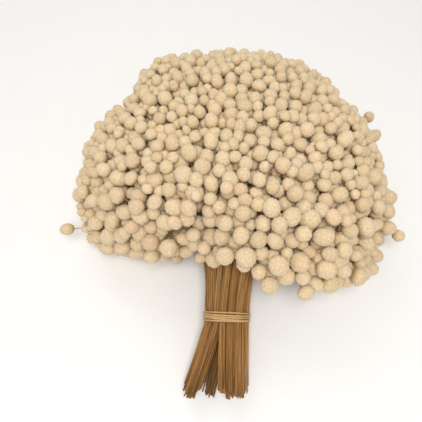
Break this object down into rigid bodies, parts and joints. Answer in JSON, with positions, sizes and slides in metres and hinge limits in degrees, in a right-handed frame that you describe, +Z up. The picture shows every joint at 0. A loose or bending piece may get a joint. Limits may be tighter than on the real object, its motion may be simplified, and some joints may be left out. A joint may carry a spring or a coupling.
{
  "type": "dried globe amaranth bunch",
  "caption": "Tied bunch of dried globe amaranth lying on its side: small round cream flower heads, each on its own thin straw stem, fanned out from a rubber band.",
  "frame": {"origin": "middle of the bunch's box, on the surface that the bunch lies on", "axes": "+Y from the stems' cut ends to the far side of the bloom, +Z up from the surface, +X to the right as the camera looks down on the bunch"},
  "size_m": [0.3394, 0.366, 0.1549],
  "materials": {
    "cream_heads": "matt dry papery bracts, cream to pale tan",
    "straw_stems": "dry golden-brown straw with darker streaks",
    "rubber_band": "plain tan rubber, satin"
  },
  "bodies": {
    "root": {"left_bunch_sheaf_01": "cream_heads", "left_bunch_sheaf_02": "cream_heads", "left_bunch_sheaf_03": "cream_heads", "left_bunch_sheaf_04": "cream_heads", "left_bunch_sheaf_05": "cream_heads", "left_bunch_sheaf_06": "cream_heads", "left_bunch_sheaf_07": "cream_heads", "left_bunch_sheaf_08": "cream_heads", "middle_bunch_sheaf_01": "cream_heads", "middle_bunch_sheaf_02": "cream_heads", "right_bunch_sheaf_01": "cream_heads", "right_bunch_sheaf_02": "cream_heads", "right_bunch_sheaf_03": "cream_heads", "right_bunch_sheaf_04": "cream_heads", "right_bunch_sheaf_05": "cream_heads", "right_bunch_sheaf_06": "cream_heads", "right_bunch_sheaf_07": "cream_heads", "right_bunch_sheaf_08": "cream_heads", "right_bunch_sheaf_09": "cream_heads", "right_bunch_sheaf_10": "cream_heads", "right_bunch_sheaf_11": "cream_heads", "right_bunch_sheaf_12": "cream_heads", "right_bunch_sheaf_13": "cream_heads", "right_bunch_sheaf_14": "cream_heads", "tie_band": "rubber_band"}
  },
  "joints": []
}
